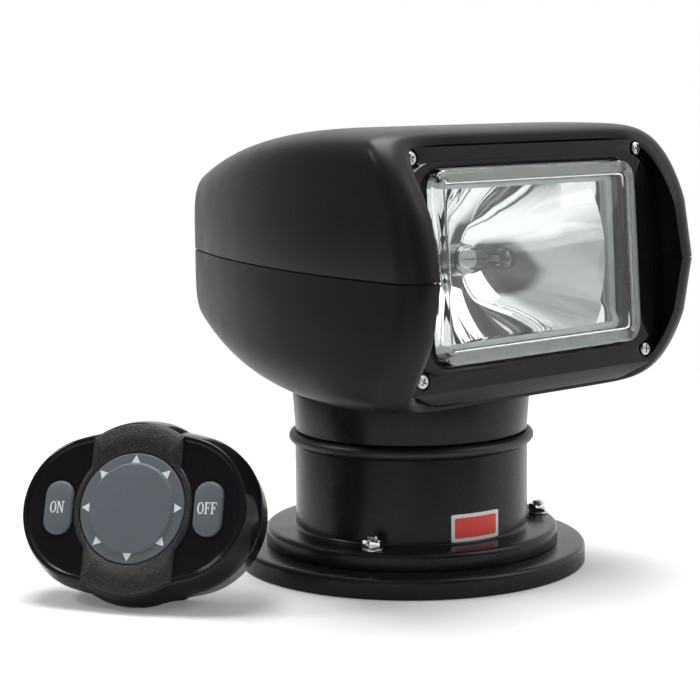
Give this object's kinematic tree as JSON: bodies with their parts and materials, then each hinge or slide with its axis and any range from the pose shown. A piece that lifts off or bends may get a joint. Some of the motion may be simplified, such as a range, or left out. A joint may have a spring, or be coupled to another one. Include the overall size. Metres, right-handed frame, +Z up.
{
  "type": "marine searchlight",
  "caption": "Deck-mounted marine searchlight: a boxy lamp head that tilts on a motor-driven turret, panning on a bolted round base, with its hand control.",
  "frame": {"origin": "centre of the mounting plate's underside, on the pan axis", "axes": "+Z up along the pan axis, -Y towards the lamp's front at rest, +X to the lamp's left as it looks out"},
  "size_m": [0.2706, 0.223, 0.2065],
  "materials": {
    "head_plastic": "fine-grained charcoal moulding",
    "base_plastic": "semi-gloss black moulding",
    "gloss_black": "glossy black moulding",
    "case_black": "satin black moulding",
    "key_grey": "slate-grey moulding",
    "seal_rubber": "black moulded rubber",
    "mat_rubber": "pale silicone rubber",
    "stainless": "stainless steel",
    "bright_chrome": "bright chromium plate",
    "reflector_silver": "vacuum-metallised mirror finish",
    "lens_glass": "clear pressed glass",
    "bulb_glass": "clear quartz glass",
    "gear_nylon": "natural nylon",
    "bronze": "sintered bronze",
    "board_green": "solder-masked board",
    "dark_parts": "black moulded components",
    "motor_can": "plated motor case",
    "battery_skin": "lacquered cell case"
  },
  "bodies": {
    "base": {"mounting_plate": "base_plastic", "flange_bolts": "stainless", "lock_washers": "stainless", "flange_nuts": "bright_chrome", "base_housing": "base_plastic", "cable_gland": "seal_rubber", "turret_seal": "seal_rubber", "pan_spindle": "stainless", "sun_gear": "gear_nylon", "thrust_washer": "gear_nylon", "spindle_nut": "stainless", "control_board": "board_green", "board_parts": "dark_parts", "board_screws": "stainless"},
    "turret": {"turret_shell": "base_plastic", "pan_bush": "bronze", "pan_motor": "motor_can", "turret_cap": "base_plastic", "cap_screws": "stainless", "tilt_yoke": "stainless", "yoke_screws": "stainless", "tilt_bushes": "bronze", "tilt_motor": "motor_can", "motor_bracket": "stainless"},
    "pan_pinion": {"pan_pinion": "gear_nylon"},
    "tilt_pinion": {"tilt_pinion": "gear_nylon"},
    "head": {"upper_shell": "head_plastic", "lower_shell": "head_plastic", "shell_screws": "stainless", "front_bezel": "gloss_black", "bezel_screws": "stainless", "lens": "lens_glass", "lens_gasket": "seal_rubber", "reflector": "reflector_silver", "bulb": "bulb_glass", "bulb_base": "stainless", "bulb_retainer": "stainless", "bulb_connector": "dark_parts", "head_frame": "stainless", "frame_screws": "stainless", "tilt_shaft": "stainless", "shaft_clips": "stainless", "tilt_sector": "gear_nylon"},
    "hand_control": {"remote_front": "gloss_black", "remote_back": "case_black", "remote_board": "board_green", "keypad": "mat_rubber", "battery": "battery_skin", "battery_door": "case_black", "remote_screws": "stainless", "pivot_post": "gear_nylon"},
    "pad_pivot": {"pad_pivot": "stainless"},
    "direction_pad": {"direction_pad": "key_grey"},
    "on_button": {"on_button": "key_grey"},
    "off_button": {"off_button": "key_grey"}
  },
  "joints": [
    {"name": "pan", "type": "hinge", "parent": "base", "child": "turret", "pos_m": [0, 0, 0.055], "axis": [0, 0, 1], "range_deg": [-180, 180]},
    {"name": "tilt", "type": "hinge", "parent": "turret", "child": "head", "pos_m": [0, 0, 0.1181], "axis": [-1, 0, 0], "range_deg": [-15, 15]},
    {"name": "pan_drive", "type": "hinge", "parent": "turret", "child": "pan_pinion", "pos_m": [0, 0.03, 0.045], "axis": [0, 0, 1], "range_deg": [-725, 725]},
    {"name": "tilt_drive", "type": "hinge", "parent": "turret", "child": "tilt_pinion", "pos_m": [0.02, 0, 0.0941], "axis": [-1, 0, 0], "range_deg": [-50, 50]},
    {"name": "control_pick_up", "type": "slide", "parent": "base", "child": "hand_control", "axis": [-0.8301, -0.47, 0.3], "range_m": [0, 0.12]},
    {"name": "on_press", "type": "slide", "parent": "hand_control", "child": "on_button", "axis": [0.7958, 0.4558, -0.3987], "range_m": [0, 0.0012], "stiffness_N_per_m": 800, "springref_m": -0.0012},
    {"name": "off_press", "type": "slide", "parent": "hand_control", "child": "off_button", "axis": [0.7958, 0.4558, -0.3987], "range_m": [0, 0.0012], "stiffness_N_per_m": 800, "springref_m": -0.0012},
    {"name": "pad_sideways", "type": "hinge", "parent": "hand_control", "child": "pad_pivot", "pos_m": [-0.14426, 0.02331, 0.04126], "axis": [0.3218, 0.2396, 0.916], "range_deg": [-3.5, 3.5], "stiffness_Nm_per_rad": 1.5},
    {"name": "pad_upright", "type": "hinge", "parent": "pad_pivot", "child": "direction_pad", "pos_m": [-0.14426, 0.02331, 0.04126], "axis": [0.513, -0.8573, 0.044], "range_deg": [-3.5, 3.5], "stiffness_Nm_per_rad": 1.5}
  ],
  "couplings": [
    {"joint": "pan_drive", "follows": "pan", "ratio": 4},
    {"joint": "tilt_drive", "follows": "tilt", "ratio": -3}
  ]
}
